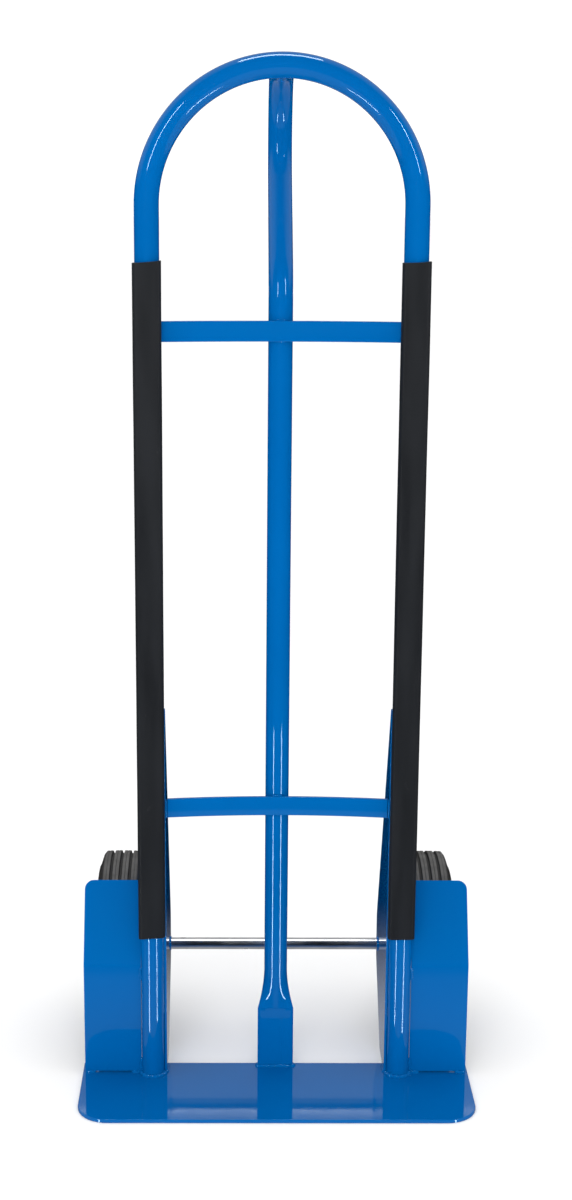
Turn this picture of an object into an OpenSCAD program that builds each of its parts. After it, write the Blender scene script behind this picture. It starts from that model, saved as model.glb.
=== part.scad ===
// Hand truck with a welded tube frame, a looped back handle, a toe plate and two wheels on one axle.
// It stands upright: the toe plate reaches towards -Y, the wheels are on the +Y side, left is -X.
// The origin is on the floor, in the middle of the truck's width and depth.

/* [Frame] */
// Height of the top of the hoop above the floor
overall_h = 1303; // [1250:1:1350]
// Distance between the centre lines of the two rails
rail_spacing = 322; // [316:1:326]
// Outer diameter of the frame tube
tube_d = 30; // [29:0.5:31]
// Wall thickness of the frame tube
tube_wall = 2; // [1.5:0.1:2.5]
// Distance of the spine's centre line behind the rails
spine_back = 30; // [28:1:34]
// Height of the flat cross straps
strap_h = 25; // [20:1:32]
// Thickness of the flat cross straps
strap_t = 5; // [4:0.5:6]
// Height of the middle of the upper strap above the floor
upper_strap_z = 978; // [900:1:985]
// Height of the middle of the lower strap above the floor
lower_strap_z = 372; // [320:1:450]

/* [Handle] */
// Distance of the handle's upright stretch behind the rails
handle_back = 138; // [125:1:150]
// Lean of the handle's slanted stretch away from upright
handle_lean = 38; // [34:1:42]
// Bend radius where the spine turns into the handle
handle_bend_r = 80; // [70:1:85]
// Bend radius of the handle's top
handle_top_r = 87; // [80:1:95]

/* [Spine foot] */
// Width of the flattened foot
foot_w = 47; // [44:1:50]
// Thickness of the flattened foot
foot_t = 4.5; // [4:0.1:5]
// Height of the flat stretch of the foot above the floor
foot_flat_z = 88; // [70:1:95]
// Height above the floor where the spine is fully round again
foot_round_z = 140; // [125:1:160]

/* [Toe plate] */
// Width of the toe plate
toe_w = 508; // [506:1:520]
// Depth of the toe plate
toe_depth = 153; // [145:1:165]
// Thickness of the toe plate
toe_t = 5; // [4:0.5:6]
// Radius of the toe plate's front corners
toe_corner_r = 40; // [20:1:50]
// Distance that the toe plate reaches behind the rails
toe_rear = 25; // [22:1:28]

/* [Wheels] */
// Diameter of the tyres
wheel_d = 254; // [252:1:256]
// Distance of the axle behind the rails
axle_back = 137; // [137:1:145]
// Distance of each wheel's middle from the middle of the truck
wheel_x = 208; // [206:1:209]
// Diameter of the axle
axle_d = 15.88; // [15.8:0.01:15.9]
// Length of each wheel's hub
hub_len = 57; // [55:1:58]
// Number of bolts that hold each wheel's rim halves together
rim_bolt_count = 4; // [3:1:6]

/* [Brackets and guards] */
// Thickness of the axle brackets
bracket_t = 3.2; // [3:0.1:4]
// Height of the top of the axle brackets above the floor
bracket_top_z = 505; // [480:1:520]
// Distance of each guard's outer edge from the middle of the truck
guard_x = 251; // [246:1:252]
// Thickness of the wheel guards
guard_t = 3.5; // [3:0.1:4]
// Height of the fold across each wheel guard above the floor
guard_fold_z = 157; // [150:1:165]
// Height of the top of the wheel guards above the floor
guard_top_z = 257; // [250:1:260]
// Lean of the guard's top away from upright
guard_lean = 25; // [22:1:27]

/* [Bumpers] */
// Width of the rub strips on the rails
bumper_w = 34.6; // [34:0.1:36]
// Height of the lower end of the rub strips above the floor
bumper_low_z = 200; // [180:1:220]
// Height of the upper end of the rub strips above the floor
bumper_top_z = 1063; // [1000:1:1080]

/* [Hidden] */
$fn = 96;

left = -1;
right = 1;
frame_blue = "royalblue";
rubber_black = "dimgray";
plated_steel = "silver";
slip = 0.06; // radial clearance of rings and sleeves on the axle
weld_gap = 0.1; // gap that a weld fills

// Frame
tube_r = tube_d / 2;
rail_x = rail_spacing / 2;
toe_reach = toe_depth - toe_rear;
rail_y = (toe_reach - axle_back - wheel_d / 2) / 2;
spine_y = rail_y + spine_back;
hoop_z = overall_h - tube_r - rail_x;
hoop_top_z = hoop_z + rail_x;
strap_bow = spine_back - tube_r - strap_t / 2;
strap_bow_r = (pow(rail_x, 2) + pow(strap_bow, 2)) / (2 * strap_bow);

// Handle
handle_y = rail_y + handle_back;
handle_slant_len = (handle_back - spine_back - 2 * handle_bend_r * (1 - cos(handle_lean))) / sin(handle_lean);
handle_top_z = hoop_top_z - handle_top_r;
handle_low_z = handle_top_z - 2 * handle_bend_r * sin(handle_lean) - handle_slant_len * cos(handle_lean);

// Axle and wheels
axle_y = rail_y + axle_back;
axle_z = wheel_d / 2;
wheel_r = wheel_d / 2;
axle_r = axle_d / 2;
bracket_x = rail_x - tube_r;
sleeve_r = 11;
washer_t = 2.5;
washer_r = 17;
pin_r = 1.6;
ring_end = hub_len / 2 + 0.5; // the inner rings stand this far from the wheel's middle, proud of the hub
pin_x = wheel_x + ring_end + washer_t + pin_r + 0.5;
axle_half = pin_x + 8;

// Bearings, with sizes of a common 35 mm ball bearing
bearing_w = 11;
bearing_r = 17.5;
inner_ring_r = 10.8;
outer_ring_inner_r = 14.7;
ball_r = 2.95;
ball_pitch_r = 12.75;
ball_count = 8;
groove_r = ball_r + 0.2;
bearing_z = hub_len / 2 - bearing_w / 2;
shield_t = 0.6;
cage_w = 7.6;

// Hub and rim
hub_r = 20.5;
hub_inner_r = 15.5;
rim_t = 2;
rim_web_r = 39;
rim_hub_z = 8;
rim_barrel_r = 72;
rim_flange_r = 84;
rim_half_w = 26;
rim_bolt_r = 55;
bolt_d = 6;
bolt_head_w = 11.5;
bolt_head_t = 4;
nut_t = 5;

// Tyre
tread_half_w = 22;
tyre_half_w = 32;
tyre_bulge_depth = 30; // the tyre is widest this far in from the tread
tread_edge_w = 3;
tread_edge_depth = 4;
tread_groove_w = 4;
tread_groove_depth = 4;
tread_groove_offset = 12.5;

// Bumpers, brackets and guards
bumper_front = 18;
bumper_rear = 4;
bumper_corner_r = 5;
bracket_front = 3; // in front of the rails' centre lines
bracket_rear = 25; // behind the axle
bracket_above_axle = 36;
bracket_below_axle = 25;
bracket_foot_ahead = 70; // the bracket's foot ends this far in front of the axle
bracket_tip_w = 7;
guard_front = 2; // in front of the rails' centre lines
guard_fold_r = 6;
guard_outer_corner_r = 12;
guard_inner_corner_r = 6;
guard_gap = 2; // between the toe plate and the guard's lower edge
guard_foot_w = 12;
guard_lug_h = 8;
guard_low_lug_z = 20;
guard_lug_below_fold = 18;
guard_rail_gap = 1;

// Outline of a polygon with each corner rounded to its own radius; the corners run counter-clockwise
// or clockwise, and a radius of 0 keeps a corner sharp.
function unit(v) = v / norm(v);
function corner_arc(before, corner, after, radius, steps = 8) =
    let (
        u = unit(before - corner),
        v = unit(after - corner),
        half_angle = acos(u * v) / 2,
        centre = corner + unit(u + v) * radius / sin(half_angle),
        start = corner + u * radius / tan(half_angle) - centre,
        turn = (u.x * v.y - u.y * v.x > 0 ? -1 : 1) * (180 - 2 * half_angle)
    )
    radius == 0
        ? [corner]
        : [for (i = [0 : steps])
            let (a = turn * i / steps)
            centre + [start.x * cos(a) - start.y * sin(a), start.x * sin(a) + start.y * cos(a)]];
function rounded(points, radii) =
    let (n = len(points))
    [for (i = [0 : n - 1])
        each corner_arc(points[(i + n - 1) % n], points[i], points[(i + 1) % n], radii[i])];

module pipe_section() {
    difference() {
        circle(r = tube_r);
        circle(r = tube_r - tube_wall);
    }
}

// Straight pipe from the origin up along Z
module pipe(length) {
    linear_extrude(length) pipe_section();
}

// Pipe bend that starts at the origin going up along Z and turns towards -Y
module pipe_bend(radius, angle) {
    translate([0, -radius, 0])
        rotate([90, 0, 90])
            rotate_extrude(angle = angle)
                translate([radius, 0])
                    pipe_section();
}

module rail_solid(side) {
    translate([side * rail_x, rail_y, 0]) cylinder(r = tube_r, h = hoop_z);
}

module frame_hoop() {
    color(frame_blue) {
        for (side = [left, right])
            translate([side * rail_x, rail_y, toe_t])
                pipe(hoop_z - toe_t);
        translate([0, rail_y, hoop_z])
            rotate([90, 0, 0])
                rotate_extrude(angle = 180)
                    translate([rail_x, 0])
                        pipe_section();
    }
}

// From the foot upward: a straight stretch, a bend back, a slanted stretch, a bend upright again,
// and the handle's top, which curves forward until it meets the back of the hoop.
module spine_tube() {
    bend_y = handle_bend_r * (1 - cos(handle_lean));
    bend_z = handle_bend_r * sin(handle_lean);
    end_len = handle_back - handle_top_r;
    color(frame_blue) {
        spine_foot();
        translate([0, spine_y, foot_round_z])
            pipe(handle_low_z - foot_round_z);
        translate([0, spine_y, handle_low_z])
            rotate([0, 0, 180])
                pipe_bend(handle_bend_r, handle_lean);
        translate([0, spine_y + bend_y, handle_low_z + bend_z])
            rotate([-handle_lean, 0, 0])
                slanted_pipe(handle_slant_len);
        translate([0, handle_y, handle_top_z])
            rotate([0, 180, 0])
                pipe_bend(handle_bend_r, handle_lean);
        translate([0, handle_y, handle_top_z])
            pipe_bend(handle_top_r, 90);
        difference() {
            translate([0, rail_y + end_len, hoop_top_z])
                rotate([90, 0, 0])
                    pipe(end_len);
            translate([0, rail_y, hoop_z])
                rotate([90, 0, 0])
                    rotate_extrude()
                        translate([rail_x, 0])
                            circle(r = tube_r + weld_gap);
        }
    }
}

// Its wall is 0.1 mm thinner on both sides, so that its ends run into the walls of the two bends.
module slanted_pipe(length) {
    overlap = 1;
    hair = 0.1;
    translate([0, 0, -overlap])
        linear_extrude(length + 2 * overlap)
            difference() {
                circle(r = tube_r - hair);
                circle(r = tube_r - tube_wall + hair);
            }
}

// The tube's end is pressed flat against its front side and stands on the toe plate.
module spine_foot() {
    flat_y = spine_y - tube_r;
    translate([-foot_w / 2, flat_y, toe_t])
        cube([foot_w, foot_t, foot_flat_z - toe_t]);
    hull() {
        translate([-foot_w / 2, flat_y, foot_flat_z])
            cube([foot_w, foot_t, 0.1]);
        translate([0, spine_y, foot_round_z - 0.1])
            cylinder(r = tube_r, h = 0.1, $fn = 32);
    }
}

// Flat bar across the frame, bowed backward so that its middle lies against the spine. Its ends
// lie against whatever stands at reach_x from the middle: the rails or the axle brackets.
module cross_strap(z, reach_x) {
    color(frame_blue)
        difference() {
            translate([0, 0, z - strap_h / 2])
                linear_extrude(strap_h)
                    intersection() {
                        translate([0, rail_y + strap_bow - strap_bow_r])
                            difference() {
                                circle(r = strap_bow_r + strap_t / 2, $fn = 1440);
                                circle(r = strap_bow_r - strap_t / 2, $fn = 1440);
                            }
                        translate([-reach_x, rail_y - strap_t])
                            square([2 * reach_x, strap_bow + 2 * strap_t]);
                    }
            for (side = [left, right])
                rail_solid(side);
        }
}

module toe_plate() {
    front_y = rail_y - toe_reach;
    color(frame_blue)
        linear_extrude(toe_t)
            union() {
                translate([-toe_w / 2, front_y + toe_corner_r])
                    square([toe_w, toe_depth - toe_corner_r]);
                translate([toe_corner_r - toe_w / 2, front_y])
                    square([toe_w - 2 * toe_corner_r, toe_corner_r]);
                for (side = [left, right])
                    translate([side * (toe_w / 2 - toe_corner_r), front_y + toe_corner_r])
                        circle(r = toe_corner_r);
            }
}

// Gusset plate on the inner side of a rail, widest at the axle. Its outline is drawn in the YZ plane.
module axle_bracket(side) {
    rear_y = axle_y + bracket_rear;
    front_y = rail_y - bracket_front;
    outline = rounded(
        [
            [front_y, toe_t],
            [axle_y - bracket_foot_ahead, toe_t],
            [rear_y, axle_z - bracket_below_axle],
            [rear_y, axle_z + bracket_above_axle],
            [front_y + bracket_tip_w, bracket_top_z],
            [front_y, bracket_top_z]
        ],
        [0, 10, 22, 30, 3, 0]
    );
    color(frame_blue)
        translate([side > 0 ? bracket_x - bracket_t : -bracket_x, 0, 0])
            difference() {
                rotate([90, 0, 90])
                    linear_extrude(bracket_t)
                        polygon(outline);
                translate([-1, axle_y, axle_z])
                    rotate([0, 90, 0])
                        cylinder(r = axle_r + slip, h = bracket_t + 2);
            }
}

// Side view of a guard: upright, then folded back
function guard_side() =
    let (
        front_y = rail_y - guard_front,
        rear_y = front_y + guard_t,
        rise = guard_top_z - guard_fold_z,
        shift = rise * tan(guard_lean),
        slope = guard_t / cos(guard_lean)
    )
    rounded(
        [
            [front_y, toe_t],
            [rear_y, toe_t],
            [rear_y, guard_fold_z],
            [front_y + shift + slope, guard_top_z],
            [front_y + shift, guard_top_z],
            [front_y, guard_fold_z]
        ],
        [0, 0, guard_fold_r, 0, 0, guard_fold_r + guard_t]
    );

// Front view of the right guard: two feet at the bottom and two short lugs against the rail
module guard_front_view() {
    inner_x = rail_x + tube_r + guard_rail_gap;
    lug_root = 0.2;
    difference() {
        polygon(rounded(
            [[inner_x, toe_t], [guard_x, toe_t], [guard_x, guard_top_z], [inner_x, guard_top_z]],
            [0, 0, guard_outer_corner_r, guard_inner_corner_r]
        ));
        translate([inner_x + guard_foot_w, toe_t - 1])
            square([guard_x - inner_x - 2 * guard_foot_w, guard_gap + 1]);
    }
    for (z = [guard_low_lug_z, guard_fold_z - guard_lug_below_fold])
        translate([inner_x - guard_rail_gap - lug_root, z])
            square([guard_rail_gap + lug_root, guard_lug_h]);
}

module wheel_guard(side) {
    reach = guard_x + 5; // past the guard in every direction
    color(frame_blue)
        difference() {
            intersection() {
                translate([-reach, 0, 0])
                    rotate([90, 0, 90])
                        linear_extrude(2 * reach)
                            polygon(guard_side());
                translate([0, rail_y + reach, 0])
                    rotate([90, 0, 0])
                        linear_extrude(2 * reach)
                            mirror([side > 0 ? 0 : 1, 0])
                                guard_front_view();
            }
            rail_solid(side);
        }
}

// Rub strip: flat in front with round edges, hollowed to fit the rail, open at the back
module rail_bumper(side) {
    color(rubber_black)
        translate([side * rail_x, rail_y, bumper_low_z])
            linear_extrude(bumper_top_z - bumper_low_z)
                difference() {
                    union() {
                        translate([-bumper_w / 2, bumper_corner_r - bumper_front])
                            square([bumper_w, bumper_front - bumper_rear - bumper_corner_r]);
                        translate([bumper_corner_r - bumper_w / 2, -bumper_front])
                            square([bumper_w - 2 * bumper_corner_r, bumper_corner_r]);
                        for (edge = [left, right])
                            translate([edge * (bumper_w / 2 - bumper_corner_r), bumper_corner_r - bumper_front])
                                circle(r = bumper_corner_r);
                    }
                    circle(r = tube_r);
                }
}

// Puts a shape on the axle line, with its Z axis along the axle and pointing outward
module on_axle(side, x = 0) {
    translate([side * x, axle_y, axle_z])
        rotate([0, side * 90, 0])
            children();
}

module collar(outer_r, inner_r, length) {
    difference() {
        cylinder(r = outer_r, h = length);
        translate([0, 0, -1]) cylinder(r = inner_r, h = length + 2);
    }
}

module axle() {
    chamfer = 1.5;
    color(plated_steel)
        difference() {
            union() {
                on_axle(right, chamfer - axle_half)
                    cylinder(r = axle_r, h = 2 * (axle_half - chamfer));
                for (side = [left, right])
                    on_axle(side, axle_half - chamfer)
                        cylinder(r1 = axle_r, r2 = axle_r - chamfer, h = chamfer);
            }
            for (side = [left, right])
                translate([side * pin_x, axle_y, axle_z - axle_r - 1])
                    cylinder(r = pin_r + 0.1, h = axle_d + 2);
        }
}

module axle_sleeve(side) {
    color(plated_steel)
        on_axle(side, bracket_x)
            collar(sleeve_r, axle_r + slip, wheel_x - ring_end - bracket_x);
}

module end_washer(side) {
    color(plated_steel)
        on_axle(side, wheel_x + ring_end)
            collar(washer_r, axle_r + 0.2, washer_t);
}

// Split pin with its eye on top
module cotter_pin(side) {
    eye_r = 3.2;
    wire_r = 0.8;
    color(plated_steel)
        translate([side * pin_x, axle_y, 0]) {
            translate([0, 0, axle_z - axle_r - 6])
                cylinder(r = pin_r, h = axle_d + 8);
            translate([0, 0, axle_z + axle_r + 2 + eye_r])
                rotate([0, 90, 0])
                    rotate_extrude()
                        translate([eye_r, 0])
                            circle(r = wire_r, $fn = 32);
        }
}

// Repeats a bearing piece at both ends of a hub
module both_ends() {
    for (turn = [0, 180])
        rotate([turn, 0, 0])
            children();
}

module ball_groove() {
    translate([0, 0, bearing_z])
        rotate_extrude()
            translate([ball_pitch_r, 0])
                circle(r = groove_r);
}

module inner_rings(side) {
    ring_start = bearing_z - bearing_w / 2;
    color(plated_steel)
        on_axle(side, wheel_x)
            both_ends()
                difference() {
                    translate([0, 0, ring_start])
                        collar(inner_ring_r, axle_r + slip, ring_end - ring_start);
                    ball_groove();
                }
}

module bearing_spacer(side) {
    half = bearing_z - bearing_w / 2;
    color(plated_steel)
        on_axle(side, wheel_x)
            translate([0, 0, -half])
                collar(10, axle_r + slip, 2 * half);
}

module outer_rings(side) {
    color(plated_steel)
        on_axle(side, wheel_x)
            both_ends()
                difference() {
                    translate([0, 0, bearing_z - bearing_w / 2])
                        collar(bearing_r, outer_ring_inner_r, bearing_w);
                    ball_groove();
                }
}

module bearing_shields(side) {
    inset = 0.4;
    color(plated_steel)
        on_axle(side, wheel_x)
            both_ends()
                for (z = [bearing_z - bearing_w / 2 + inset, bearing_z + bearing_w / 2 - inset - shield_t])
                    translate([0, 0, z])
                        collar(outer_ring_inner_r, inner_ring_r + 0.4, shield_t);
}

module at_balls() {
    for (i = [0 : ball_count - 1])
        rotate(i * 360 / ball_count)
            translate([ball_pitch_r, 0, bearing_z])
                children();
}

module bearing_balls(side) {
    color(plated_steel)
        on_axle(side, wheel_x)
            both_ends()
                at_balls()
                    sphere(r = ball_r, $fn = 48);
}

// A ring round each set of balls, with a round pocket through its wall for each ball
module ball_cages(side) {
    wall = 2.2;
    color(plated_steel)
        on_axle(side, wheel_x)
            both_ends()
                difference() {
                    translate([0, 0, bearing_z - cage_w / 2])
                        collar(ball_pitch_r + wall / 2, ball_pitch_r - wall / 2, cage_w);
                    at_balls()
                        translate([-wall, 0, 0])
                            rotate([0, 90, 0])
                                cylinder(r = ball_r + 0.1, h = 2 * wall);
                }
}

module hub(side) {
    color(plated_steel)
        on_axle(side, wheel_x)
            difference() {
                translate([0, 0, -hub_len / 2])
                    collar(hub_r, hub_inner_r, hub_len);
                both_ends()
                    translate([0, 0, bearing_z - bearing_w / 2])
                        cylinder(r = bearing_r, h = bearing_w + 1);
            }
}

module at_rim_bolts() {
    for (i = [0 : rim_bolt_count - 1])
        rotate(i * 360 / rim_bolt_count)
            translate([rim_bolt_r, 0, 0])
                children();
}

// Pressed pan: a cone from the hub, a flat web at the wheel's middle, a barrel and an outer flange
module rim_half(side, face) {
    dish = rim_hub_z * 0.1;
    profile = rounded(
        [
            [hub_r, rim_hub_z],
            [rim_web_r - rim_hub_z, rim_hub_z],
            [rim_web_r, 0],
            [rim_barrel_r, 0],
            [rim_barrel_r, rim_half_w - rim_t],
            [rim_flange_r, rim_half_w - rim_t],
            [rim_flange_r, rim_half_w],
            [rim_barrel_r - rim_t, rim_half_w],
            [rim_barrel_r - rim_t, rim_t],
            [rim_web_r + dish, rim_t],
            [rim_web_r - rim_hub_z + dish, rim_hub_z + rim_t],
            [hub_r, rim_hub_z + rim_t]
        ],
        [0, 3, 3, 3, 1.5, 0.8, 0.8, 3, 1.5, 3, 3, 0]
    );
    color(frame_blue)
        on_axle(side, wheel_x)
            rotate([face > 0 ? 0 : 180, 0, 0])
                difference() {
                    rotate_extrude()
                        polygon(profile);
                    at_rim_bolts()
                        translate([0, 0, -1])
                            cylinder(r = bolt_d / 2 + 0.2, h = rim_t + 2);
                }
}

module rim_bolts(side) {
    color(plated_steel)
        on_axle(side, wheel_x)
            at_rim_bolts() {
                translate([0, 0, -rim_t - nut_t - 2])
                    cylinder(r = bolt_d / 2, h = 2 * rim_t + nut_t + 2);
                translate([0, 0, rim_t])
                    cylinder(d = bolt_head_w, h = bolt_head_t, $fn = 6);
            }
}

module rim_nuts(side) {
    color(plated_steel)
        on_axle(side, wheel_x)
            at_rim_bolts()
                translate([0, 0, -rim_t - nut_t])
                    difference() {
                        cylinder(d = bolt_head_w, h = nut_t, $fn = 6);
                        translate([0, 0, -1])
                            cylinder(r = bolt_d / 2 + 0.05, h = nut_t + 2);
                    }
}

// Solid rubber tyre: its foot sits in the rim, its sides bulge, and three grooves run round the tread
module tyre(side) {
    foot_half_w = rim_half_w - rim_t - 0.1;
    foot_r = rim_barrel_r + 0.1;
    foot_edge = 2;
    section = rounded(
        [
            [foot_r, -foot_half_w],
            [rim_flange_r + foot_edge, -foot_half_w],
            [wheel_r - tyre_bulge_depth, -tyre_half_w],
            [wheel_r - tread_edge_depth, -tread_half_w - tread_edge_w],
            [wheel_r, -tread_half_w],
            [wheel_r, tread_half_w],
            [wheel_r - tread_edge_depth, tread_half_w + tread_edge_w],
            [wheel_r - tyre_bulge_depth, tyre_half_w],
            [rim_flange_r + foot_edge, foot_half_w],
            [foot_r, foot_half_w]
        ],
        [3, 2, 12, 5, 3, 3, 5, 12, 2, 3]
    );
    color(rubber_black)
        on_axle(side, wheel_x)
            rotate_extrude()
                difference() {
                    polygon(section);
                    for (z = [-tread_groove_offset, 0, tread_groove_offset])
                        translate([wheel_r - tread_groove_depth, z - tread_groove_w / 2])
                            square([tread_groove_depth + 1, tread_groove_w]);
                }
}

frame_hoop();
spine_tube();
cross_strap(upper_strap_z, rail_x);  // upper_cross_strap
cross_strap(lower_strap_z, bracket_x - bracket_t);  // lower_cross_strap
toe_plate();
axle_bracket(left);  // left_axle_bracket
axle_bracket(right);  // right_axle_bracket
wheel_guard(left);  // left_wheel_guard
wheel_guard(right);  // right_wheel_guard
rail_bumper(left);  // left_rail_bumper
rail_bumper(right);  // right_rail_bumper
axle();
axle_sleeve(left);  // left_axle_sleeve
axle_sleeve(right);  // right_axle_sleeve
inner_rings(left);  // left_inner_rings
inner_rings(right);  // right_inner_rings
bearing_spacer(left);  // left_bearing_spacer
bearing_spacer(right);  // right_bearing_spacer
end_washer(left);  // left_end_washer
end_washer(right);  // right_end_washer
cotter_pin(left);  // left_cotter_pin
cotter_pin(right);  // right_cotter_pin
tyre(left);  // left_tyre
tyre(right);  // right_tyre
rim_half(left, 1);  // left_outer_rim
rim_half(right, 1);  // right_outer_rim
rim_half(left, -1);  // left_inner_rim
rim_half(right, -1);  // right_inner_rim
hub(left);  // left_hub
hub(right);  // right_hub
outer_rings(left);  // left_outer_rings
outer_rings(right);  // right_outer_rings
bearing_shields(left);  // left_bearing_shields
bearing_shields(right);  // right_bearing_shields
rim_bolts(left);  // left_rim_bolts
rim_bolts(right);  // right_rim_bolts
rim_nuts(left);  // left_rim_nuts
rim_nuts(right);  // right_rim_nuts
bearing_balls(left);  // left_bearing_balls
bearing_balls(right);  // right_bearing_balls
ball_cages(left);  // left_ball_cages
ball_cages(right);  // right_ball_cages
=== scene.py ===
"""The looks of a hand truck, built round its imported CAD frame."""

import math

import bmesh
import bpy
from mathutils import Euler, Matrix, Vector, noise


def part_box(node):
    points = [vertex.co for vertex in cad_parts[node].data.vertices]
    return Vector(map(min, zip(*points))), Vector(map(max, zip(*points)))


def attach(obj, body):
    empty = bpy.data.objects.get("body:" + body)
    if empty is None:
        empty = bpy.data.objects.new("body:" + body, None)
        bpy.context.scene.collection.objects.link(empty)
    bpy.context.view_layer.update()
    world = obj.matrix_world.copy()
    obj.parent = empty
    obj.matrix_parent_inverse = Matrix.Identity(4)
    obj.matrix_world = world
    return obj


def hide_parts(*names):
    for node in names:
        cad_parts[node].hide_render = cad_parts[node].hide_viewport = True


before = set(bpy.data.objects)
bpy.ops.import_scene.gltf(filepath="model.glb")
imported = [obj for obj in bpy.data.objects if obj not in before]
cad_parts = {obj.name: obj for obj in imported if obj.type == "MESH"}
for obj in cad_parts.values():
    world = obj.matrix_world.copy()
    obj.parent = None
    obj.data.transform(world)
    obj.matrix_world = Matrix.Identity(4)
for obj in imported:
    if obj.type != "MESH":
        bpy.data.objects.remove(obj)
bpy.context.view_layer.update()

LEFT, RIGHT = -1, 1
SIDE_NAMES = {LEFT: "left", RIGHT: "right"}
X_AXIS = Vector((1, 0, 0))
Y_AXIS = Vector((0, 1, 0))
Z_AXIS = Vector((0, 0, 1))

# Sizes in metres, most of them read from the frame
tube_r = 0.015
hoop_low, hoop_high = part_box("frame_hoop")
spine_low, spine_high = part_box("spine_tube")
rail_x = hoop_high.x - tube_r
rail_y = (hoop_low.y + hoop_high.y) / 2
plate_top = hoop_low.z
hoop_top_z = spine_high.z - tube_r
hoop_z = hoop_top_z - rail_x

foot_w = spine_high.x - spine_low.x
spine_y = rail_y + 0.030
spine_front = spine_y - tube_r
handle_y = spine_high.y - tube_r

axle_low, axle_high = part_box("axle")
axle_y = (axle_low.y + axle_high.y) / 2
axle_z = (axle_low.z + axle_high.z) / 2
axle_r = (axle_high.z - axle_low.z) / 2

tyre_low, tyre_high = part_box("right_tyre")
wheel_x = (tyre_low.x + tyre_high.x) / 2
wheel_r = (tyre_high.z - tyre_low.z) / 2
tyre_half_w = (tyre_high.x - tyre_low.x) / 2

# Sizes of the handle and the spine's foot, in metres and degrees
handle_bend_r = 0.080
handle_lean = math.radians(38)
handle_top_r = 0.087
foot_t = 0.0045
foot_roll = 0.005
foot_flat_z = 0.088
foot_round_z = 0.140
SPINE_POINTS = 128

# Sizes that more than one function uses, in metres
guard_foot = 0.012
bumper_half_w = 0.0173
hub_r = 0.0205
rim_t = 0.002


# ---------------------------------------------------------------------------
# Points and outlines
# ---------------------------------------------------------------------------

def spaced(start, end, count):
    """count + 1 values from start to end."""
    return [start + (end - start) * i / count for i in range(count + 1)]


def circle(radius, count=72):
    """A circle's points, counter-clockwise from the right."""
    angles = [2 * math.pi * i / count for i in range(count)]
    return [(radius * math.cos(a), radius * math.sin(a)) for a in angles]


def resampled(outline, count):
    """A closed outline with count points at even distances, starting at its first point."""
    lengths = [math.dist(p, q) for p, q in zip(outline, outline[1:] + outline[:1])]
    spacing = sum(lengths) / count
    points = []
    leg, passed = 0, 0.0
    for i in range(count):
        while passed + lengths[leg] < i * spacing:
            passed += lengths[leg]
            leg += 1
        share = (i * spacing - passed) / lengths[leg]
        (x0, y0), (x1, y1) = outline[leg], outline[(leg + 1) % len(outline)]
        points.append((x0 + (x1 - x0) * share, y0 + (y1 - y0) * share))
    return points


def pressed_section(width, thickness, roll, count):
    """A flattened tube's outline: straight faces that roll off over the last stretch of each side."""
    ends = []
    for side, start in ((1, -90), (-1, 90)):
        for degrees in range(start, start + 181, 5):
            a = math.radians(degrees)
            ends.append((side * (width / 2 - roll) + roll * math.cos(a), thickness / 2 * math.sin(a)))
    middle = 180 // 5 // 2
    return resampled(ends[middle:] + ends[:middle], count)


def rounded(corners, radii, steps=6):
    """A polygon with each corner rounded to its own radius; 0 keeps a corner sharp."""
    points = []
    for i, radius in enumerate(radii):
        corner = Vector(corners[i])
        if radius == 0:
            points.append(tuple(corner))
            continue
        before = (Vector(corners[i - 1]) - corner).normalized()
        after = (Vector(corners[(i + 1) % len(corners)]) - corner).normalized()
        half = before.angle(after) / 2
        centre = corner + (before + after).normalized() * radius / math.sin(half)
        start = corner + before * radius / math.tan(half) - centre
        turning_left = before.x * after.y - before.y * after.x < 0
        turn = (math.pi - 2 * half) * (1 if turning_left else -1)
        for step in range(steps + 1):
            a = turn * step / steps
            c, s = math.cos(a), math.sin(a)
            points.append((centre.x + start.x * c - start.y * s, centre.y + start.x * s + start.y * c))
    return points


def smooth_step(x):
    """Ease from 0 to 1 with no sharp change at either end."""
    x = min(max(x, 0), 1)
    return x * x * (3 - 2 * x)


# ---------------------------------------------------------------------------
# Shells: lists of points and faces
# ---------------------------------------------------------------------------

def loft(rings, wrap=False):
    """A closed shell through rings of points, capped at both ends unless it wraps round."""
    count = len(rings[0])
    points = [p for ring in rings for p in ring]
    faces = []
    for r in range(len(rings) if wrap else len(rings) - 1):
        near = r * count
        far = (r + 1) % len(rings) * count
        for c in range(count):
            nxt = (c + 1) % count
            faces.append((near + c, near + nxt, far + nxt, far + c))
    if not wrap:
        last = (len(rings) - 1) * count
        faces.append(tuple(reversed(range(count))))
        faces.append(tuple(range(last, last + count)))
    return points, faces


def sweep(path, outline, normal):
    """A shell that follows a path in one plane. The outline's first axis is the plane's normal."""
    rings = []
    for i, centre in enumerate(path):
        tangent = (path[min(i + 1, len(path) - 1)] - path[max(i - 1, 0)]).normalized()
        across = tangent.cross(normal)
        rings.append([centre + normal * a + across * b for a, b in outline])
    return loft(rings)


def revolve(profile, centre, outward, count=96):
    """A ring round the axle line. The profile's points are (radius, distance outward)."""
    rings = []
    for i in range(count):
        a = 2 * math.pi * i / count
        spoke = Vector((0, math.cos(a), math.sin(a)))
        rings.append([centre + spoke * r + X_AXIS * outward * x for r, x in profile])
    return loft(rings, wrap=True)


def prism(outline, origin, u, v, depth):
    """An outline in the plane of u and v, pushed out along depth."""
    base = [origin + u * a + v * b for a, b in outline]
    return loft([base, [p + depth for p in base]])


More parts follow.
